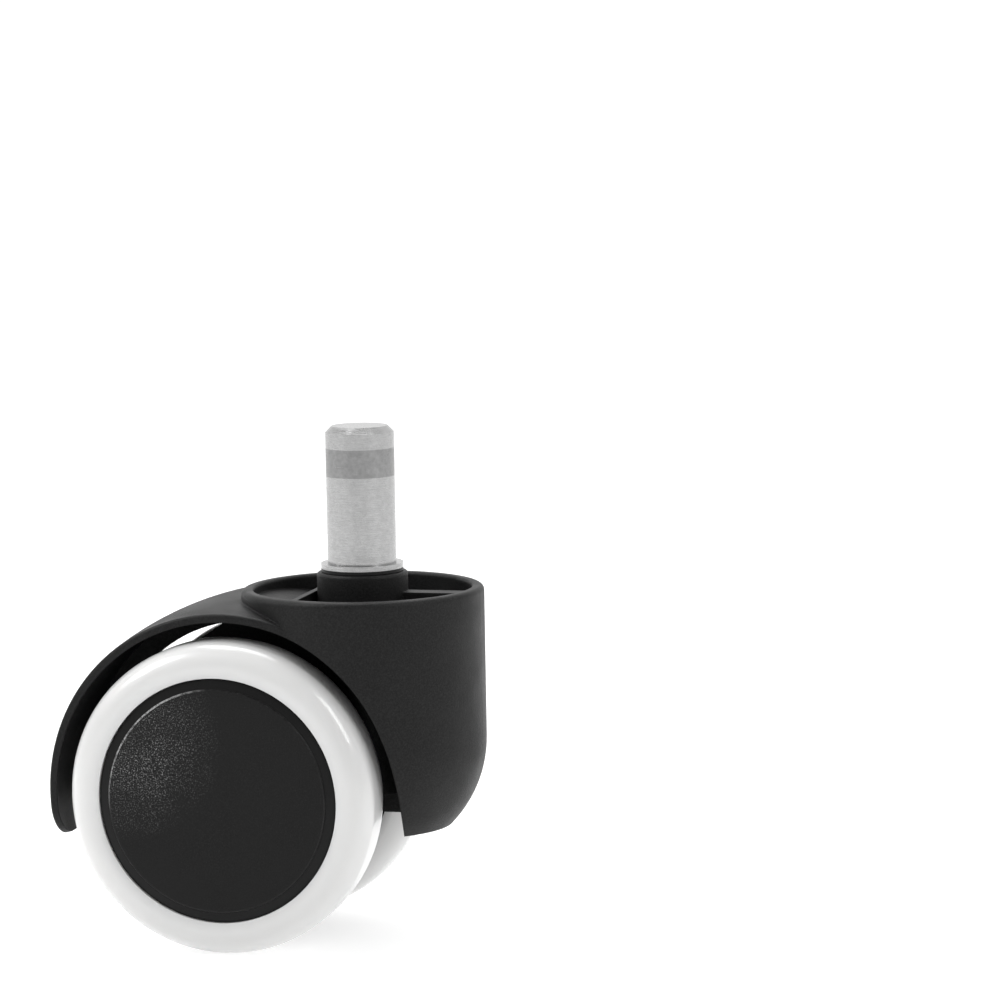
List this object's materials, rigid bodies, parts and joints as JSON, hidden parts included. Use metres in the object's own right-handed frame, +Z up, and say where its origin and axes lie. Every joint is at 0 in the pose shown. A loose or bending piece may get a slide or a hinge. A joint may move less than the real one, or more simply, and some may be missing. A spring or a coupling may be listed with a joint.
{
  "type": "chair caster",
  "caption": "Hooded twin-wheel swivel caster: black cup-shaped housing with a curved fender, white treads, black hub caps and a grip-ring stem.",
  "frame": {"origin": "on the stem axis, in the plane of the stem's shoulder where the chair leg seats", "axes": "+Z up along the stem, -X the way the wheels trail behind the stem, +Y along the axle to the left wheel"},
  "size_m": [0.0679, 0.044, 0.0824],
  "materials": {
    "housing_nylon": "fine-grained matte",
    "cap_black": "spark-textured matte",
    "tread_white": "glossy polyurethane",
    "core_nylon": "moulded",
    "bush_acetal": "smooth",
    "washer_nylon": "smooth",
    "stem_steel": "turned and zinc plated",
    "spring_steel": "oiled spring steel",
    "sleeve_steel": "drawn",
    "axle_steel": "ground"
  },
  "bodies": {
    "stem": {"swivel_stem": "stem_steel", "stem_grip_ring": "spring_steel", "stem_retaining_ring": "spring_steel", "stem_thrust_washer": "washer_nylon"},
    "housing": {"hood_housing": "housing_nylon", "stem_socket_sleeve": "sleeve_steel", "wheel_axle": "axle_steel", "axle_sleeve": "sleeve_steel", "right_spacer_washer": "axle_steel", "right_axle_clip": "spring_steel", "left_spacer_washer": "axle_steel", "left_axle_clip": "spring_steel"},
    "right_wheel": {"right_wheel_core": "core_nylon", "right_wheel_bush": "bush_acetal", "right_tread": "tread_white", "right_hub_cap": "cap_black"},
    "left_wheel": {"left_wheel_core": "core_nylon", "left_wheel_bush": "bush_acetal", "left_tread": "tread_white", "left_hub_cap": "cap_black"}
  },
  "joints": [
    {"name": "swivel", "type": "hinge", "parent": "stem", "child": "housing", "pos_m": [0, 0, -0.0154], "axis": [0, 0, 1], "continuous": true},
    {"name": "right_wheel_roll", "type": "hinge", "parent": "housing", "child": "right_wheel", "pos_m": [-0.0185, 0, -0.0354], "axis": [0, 1, 0], "continuous": true},
    {"name": "left_wheel_roll", "type": "hinge", "parent": "housing", "child": "left_wheel", "pos_m": [-0.0185, 0, -0.0354], "axis": [0, 1, 0], "continuous": true}
  ]
}
